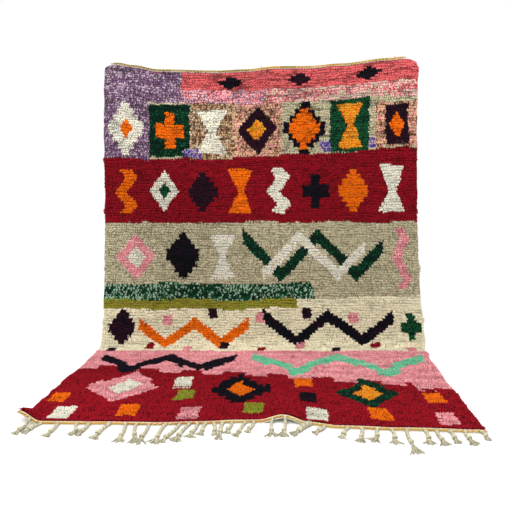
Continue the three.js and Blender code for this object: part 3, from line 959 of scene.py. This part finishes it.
def make_band(material):
    """The flat-woven end band, with softly rounded edges and fine ribs across it"""
    sides = np.linspace(-1, 1, 420)
    rear = back_point(sides, CLOTH_LENGTH) - (0, SEAM_GAP, 0)
    rib = 0.00022 * np.sin(np.arange(len(sides)) * math.pi / 1.5)
    flat = np.zeros(len(sides))
    rings = [rear + np.stack([flat, flat - y, z + rib * (z > 0.002)], -1) for y, z in BAND_PROFILE]
    count = len(BAND_PROFILE)
    a, b = ring_corners(len(sides), count)
    faces = [tuple(face) for face in np.stack([a, b, b + count, a + count], -1)]
    last = (len(sides) - 1) * count
    faces += [tuple(range(count))[::-1], tuple(range(last, last + count))]
    points, faces = np.stack(rings, 1), np.array(faces, object)
    return make_piece("end_band", points, faces, material, "fringe_band", 0.8)


# A tassel: its two-ply strand, the coil and core of its knot, and the yarns of its frayed tail
STRAND_RADIUS = 0.0080
STRAND_PITCH = 0.024
# Painted shade: the same warp yarn, one ply of each strand darker than the other
PLY_PAINTED_SHADES = (0.98, 0.72)
KNOT_RADIUS = 0.0078
KNOT_FLAT = 0.84
KNOT_LENGTH = 0.010
COIL_RADIUS = 0.0040
CORE_RADII = (0.003, 0.0036, 0.004, 0.004, 0.0036, 0.0028)
# Painted shade: the knot's coil, and the core inside it darker still
KNOT_PAINTED_SHADES = (0.92, 0.8)
TAIL_YARNS = 15
TAIL_RADII = (0.0030, 0.0018)
TAIL_RISE = 0.0052
TAIL_FAN = 0.66
LONG_TAIL = 0.05
LONG_TAIL_FAN = 0.36


def floor_axes(degrees):
    """Directions on the floor: away from the hem, turned by degrees to the right, and square to that"""
    turn = math.radians(degrees)
    heading = np.array([math.sin(turn), -math.cos(turn), 0])
    return heading, np.array([-heading[1], heading[0], 0])


def strand_line(tassel, index, steps):
    """The middle line of a tassel's strand, from its root to its knot, resting on the floor"""
    start = band_front(tassel["root"]) + (0, ROOT_DEPTH, 0)
    heading, sideways = floor_axes(tassel["slant"])
    share = np.linspace(0, 1, steps)[:, None]
    bow = STRAND_BOW if index % 2 == 0 else -STRAND_BOW
    line = start + share * tassel["length"] * heading + bow * np.sin(np.pi * share) * sideways
    settled = ease(share[:, 0] * tassel["length"], 0, SETTLE_LENGTH)
    line[:, 2] = start[2] * (1 - settled) + STRAND_RADIUS
    return line, heading, sideways


def knot_line(centre, heading, sideways, radius):
    """A short coil wound round a strand, as an overhand knot looks"""
    turns, steps = 1.6, 22
    angle = np.linspace(0, turns * 2 * math.pi, steps)[:, None]
    up = np.array([0, 0, 1])
    lean = 0.35 * np.sin(angle) * radius * heading
    run = (angle / (turns * 2 * math.pi) - 0.5) * KNOT_LENGTH * heading
    return centre + radius * (np.cos(angle) * sideways + KNOT_FLAT * np.sin(angle) * up) + run + lean


def tail_lines(knot, heading, sideways, length, rng):
    """The frayed yarns beyond a knot, fanned out and settling on the floor"""
    lines = []
    share = np.linspace(0, 1, 7)[:, None]
    fan = LONG_TAIL_FAN if length > LONG_TAIL else TAIL_FAN
    for i in range(TAIL_YARNS):
        turn = fan * (2 * i / (TAIL_YARNS - 1) - 1) + rng.normal(0, 0.07)
        way = math.cos(turn) * heading + math.sin(turn) * sideways
        reach = length * rng.uniform(0.82, 1.04)
        curl = rng.normal(0, 0.12) * reach
        line = knot + share * reach * way + curl * share**2 * sideways
        rise = TAIL_RISE + rng.uniform(-0.003, 0.003)
        line[:, 2] = TAIL_RADII[1] + rise * (1 - share[:, 0]) ** 1.5 + 0.0006 * (i % 3)
        lines.append(line)
    return lines


def tassel_tubes(tassel, index, rng):
    """The tubes of a tassel, and a shade for each: painted shade for the plies and the knot, a random tone for
    each yarn of its tail
    """
    line, heading, sideways = strand_line(tassel, index, 26)
    broad = tassel.get("broad", 1)
    line[:, 2] += STRAND_RADIUS * (broad - 1)
    radius = STRAND_RADIUS * broad * rng.uniform(0.88, 1.1)
    tubes, shades = [], []
    for phase, shade in zip((0, math.pi), PLY_PAINTED_SHADES):
        tubes.append(twined(line, radius, STRAND_PITCH, phase + index, 7))
        shades.append(shade * rng.uniform(0.92, 1.06))
    knot_radius = KNOT_RADIUS * rng.uniform(0.82, 1.12)
    centre = line[-1].copy()
    centre[2] = KNOT_FLAT * knot_radius + COIL_RADIUS
    tubes.append(tube(knot_line(centre, heading, sideways, knot_radius), COIL_RADIUS, 6, up=heading))
    core = np.linspace(line[-3], centre + 0.009 * heading, len(CORE_RADII))
    tubes.append(tube(core, CORE_RADII, 7))
    shades += KNOT_PAINTED_SHADES
    tail_start = centre + 0.004 * heading
    for tail in tail_lines(tail_start, *floor_axes(tassel["lean"]), tassel["tail"], rng):
        tubes.append(tube(tail, np.linspace(*TAIL_RADII, len(tail)), 5))
        shades.append(rng.uniform(0.5, 1.05))
    return tubes, shades


def make_tassels(material, rng):
    """All tassels: two-ply strands, a knot on each, and its frayed tail"""
    tubes, shades = [], []
    for index, tassel in enumerate(TASSELS):
        some_tubes, some_shades = tassel_tubes(tassel, index, rng)
        tubes += some_tubes
        shades += some_shades
    points, faces, numbers = join_tubes(tubes)
    dyes = linear(YARNS["warp"]) * np.array(shades)[numbers][:, None]
    # Painted shade: points within a centimetre of the floor get a lower height, so the yarn material darkens
    # them
    heights = np.clip(points[:, 2] / 0.010, 0.7, 1)
    return make_piece("tassels", points, faces, material, "fringe_band", heights, dyes)


def fill(tree, made, inputs):
    """Gives a shader node's inputs, by name or number, each a value or another node's output"""
    for name, value in inputs.items():
        if isinstance(value, bpy.types.NodeSocket):
            tree.links.new(value, made.inputs[name])
        else:
            made.inputs[name].default_value = value


def node(tree, kind, output, inputs=None, **settings):
    """The output of a new shader node with these settings and inputs"""
    made = tree.nodes.new(kind)
    for name, value in settings.items():
        setattr(made, name, value)
    fill(tree, made, inputs or {})
    return made.outputs[output]


def new_material(name, roughness, specular=0.08):
    material = bpy.data.materials.new(name)
    material.use_nodes = True
    tree = material.node_tree
    shader = tree.nodes["Principled BSDF"]
    fill(tree, shader, {"Roughness": roughness, "Specular IOR Level": specular})
    return material, tree, shader


def position(tree):
    return node(tree, "ShaderNodeNewGeometry", "Position")


def calculate(tree, operation, first, second):
    return node(tree, "ShaderNodeMath", "Value", {0: first, 1: second}, operation=operation)


def map_range(tree, value, low, high, to_low, to_high, interpolation="LINEAR"):
    inputs = {"Value": value, "From Min": low, "From Max": high, "To Min": to_low, "To Max": to_high}
    return node(tree, "ShaderNodeMapRange", "Result", inputs, interpolation_type=interpolation)


def add_fibres(tree, scale, roughness):
    inputs = {"Vector": position(tree), "Scale": scale, "Detail": 3.0, "Roughness": roughness}
    return node(tree, "ShaderNodeTexNoise", "Fac", inputs)


def dress(tree, shader, colour, height, strength, distance):
    """Gives a shader its colour, and a bump from a height"""
    inputs = {"Strength": strength, "Distance": distance, "Height": height}
    fill(tree, shader, {"Base Color": colour, "Normal": node(tree, "ShaderNodeBump", "Normal", inputs)})


def yarn_material(name, fibre_scale, root_painted_shade, dark_fleck=0.72):
    """Wool yarn: the colour of its dye with fine fibres, and painted shade that darkens it down in the pile by
    its height
    """
    material, tree, shader = new_material(name, 0.92)
    dye = node(tree, "ShaderNodeAttribute", "Color", attribute_name="yarn")
    height = node(tree, "ShaderNodeAttribute", "Fac", attribute_name="height")
    fibres = add_fibres(tree, fibre_scale, 0.65)
    # Painted shade: the lower a point's height, the darker its colour, down to the given root factor at height
    # 0
    shade = map_range(tree, height, 0, 1, root_painted_shade, 1)
    fleck = map_range(tree, fibres, 0.3, 0.7, dark_fleck, 1.22)
    both = calculate(tree, "MULTIPLY", shade, fleck)
    colour = node(tree, "ShaderNodeVectorMath", "Vector", {0: dye, "Scale": both}, operation="SCALE")
    dress(tree, shader, colour, fibres, 0.5, 0.0012)
    return material


def weave_material(name, colour, rib_width):
    """Flat-woven wool: ribs of weft whose colour changes slightly from one to the next, darker where the
    relief of ribs and fibres is low: painted shade in the grooves
    """
    ribs_at_scale_1 = 6.28
    material, tree, shader = new_material(name, 0.9)
    scale = 1 / rib_width / ribs_at_scale_1
    waves = {"Vector": position(tree), "Scale": scale, "Distortion": 1.6, "Detail": 2.0}
    ribs = node(tree, "ShaderNodeTexWave", "Fac", waves, bands_direction="X")
    relief = calculate(tree, "ADD", ribs, add_fibres(tree, 420.0, 0.6))
    share = calculate(tree, "MULTIPLY", relief, 0.6)
    # Painted shade: a darker copy of the colour where the relief is low, and full colour on the ribs
    dark, light = (*(linear(colour) * 0.62), 1), (*linear(colour), 1)
    inputs = {"Factor": share, "A": dark, "B": light}
    shade = node(tree, "ShaderNodeMix", "Result", inputs, data_type="RGBA")
    dress(tree, shader, shade, relief, 0.6, 0.0010)
    return material


def make_camera():
    """The photo's view: a level camera in front of the rug, its picture shifted down to the floor"""
    focal_pixels, picture, horizon = 520, 512, 177
    distance, height, off_middle = 3.336, 1.065, -0.034
    data = bpy.data.cameras.new("camera")
    data.sensor_width = 36
    data.lens = data.sensor_width * focal_pixels / picture
    data.shift_y = -(picture / 2 - horizon) / picture
    camera = bpy.data.objects.new("camera", data)
    camera.location = PLACE + (off_middle, -distance, height)
    camera.rotation_euler = (math.pi / 2, 0, 0)
    bpy.context.collection.objects.link(camera)
    bpy.context.scene.camera = camera


def make_floor():
    """A wide pale floor, just under the rug, that fades into the white surroundings"""
    size, segments, below = 14.0, 64, 0.0005
    angle = np.arange(segments) / segments * 2 * math.pi
    rim = np.stack([size * np.cos(angle), size * np.sin(angle), np.full(segments, -below)], -1)
    mesh = bpy.data.meshes.new("floor")
    mesh.from_pydata(rim.tolist(), [], [tuple(range(segments))])
    material, tree, shader = new_material("floor_paper", 0.9, specular=0.1)
    fill(tree, shader, {"Base Color": (0.93, 0.93, 0.93, 1)})
    glow = node(tree, "ShaderNodeEmission", "Emission", {"Color": (1, 1, 1, 1), "Strength": 1.0})
    distance = node(tree, "ShaderNodeVectorMath", "Value", {0: position(tree)}, operation="LENGTH")
    fade = map_range(tree, distance, 1.6, 4.0, 0, 1, "SMOOTHSTEP")
    mixed = node(tree, "ShaderNodeMixShader", "Shader", {0: fade, 1: shader.outputs["BSDF"], 2: glow})
    fill(tree, tree.nodes["Material Output"], {"Surface": mixed})
    mesh.materials.append(material)
    floor = bpy.data.objects.new("floor", mesh)
    bpy.context.collection.objects.link(floor)


def make_light(name, place, aim, size, power):
    data = bpy.data.lights.new(name, "AREA")
    data.shape = "DISK"
    data.size = size
    data.energy = power
    light = bpy.data.objects.new(name, data)
    light.location = place
    direction = np.asarray(aim, float) - np.asarray(place, float)
    light.rotation_euler = Vector(direction).to_track_quat("-Z", "Y").to_euler()
    bpy.context.collection.objects.link(light)


def make_studio():
    """White surroundings and soft light"""
    world = bpy.data.worlds.new("studio")
    world.use_nodes = True
    background = world.node_tree.nodes["Background"]
    fill(world.node_tree, background, {"Color": (1, 1, 1, 1), "Strength": 1.0})
    bpy.context.scene.world = world
    bpy.context.scene.view_settings.view_transform = "Standard"
    make_light("key", place=(-1.6, -3.2, 4.2), aim=(0, -0.1, 0.7), size=2.6, power=150)
    make_light("top", place=(0.8, -0.8, 4.4), aim=(0, 0.2, 0.6), size=1.6, power=60)


def make_rug():
    rng = np.random.default_rng(SEED)
    pile_yarn = yarn_material("pile_yarn", 900.0, root_painted_shade=0.62)
    cord_yarn = yarn_material("cord_yarn", 350.0, root_painted_shade=0.7, dark_fleck=0.55)
    warp_yarn = yarn_material("warp_yarn", 300.0, root_painted_shade=0.50, dark_fleck=0.50)
    band_cloth = weave_material("band_cloth", (222, 216, 198), rib_width=0.004)
    row, column, side, down = tuft_places(rng)
    ground = paint(side * CLOTH_WIDTH / 2, down)
    ridges = pile_ridges(side, down)
    colours = yarn_colours(ground, row, column, ridges, rng)
    pile = make_pile(row, side, down, ground, ridges, colours, pile_yarn, rng)
    knots = make_back_knots(side, down, colours[0], pile_yarn, rng)
    weave = make_ground(pile_yarn, rng)
    band = make_band(band_cloth)
    tassels = make_tassels(warp_yarn, rng)
    cords = make_cords(HEM_CORDS, CLOTH_LENGTH, (-2, 2), "end_cord", cord_yarn, rng)
    cords.append(make_loose_ends(cord_yarn, rng))
    cords += make_cords(TOP_CORDS, 0, TOP_CORD_SPAN, "top_cord", cord_yarn, rng, TOP_CORD_DIM)


make_camera()
make_floor()
make_studio()
make_rug()
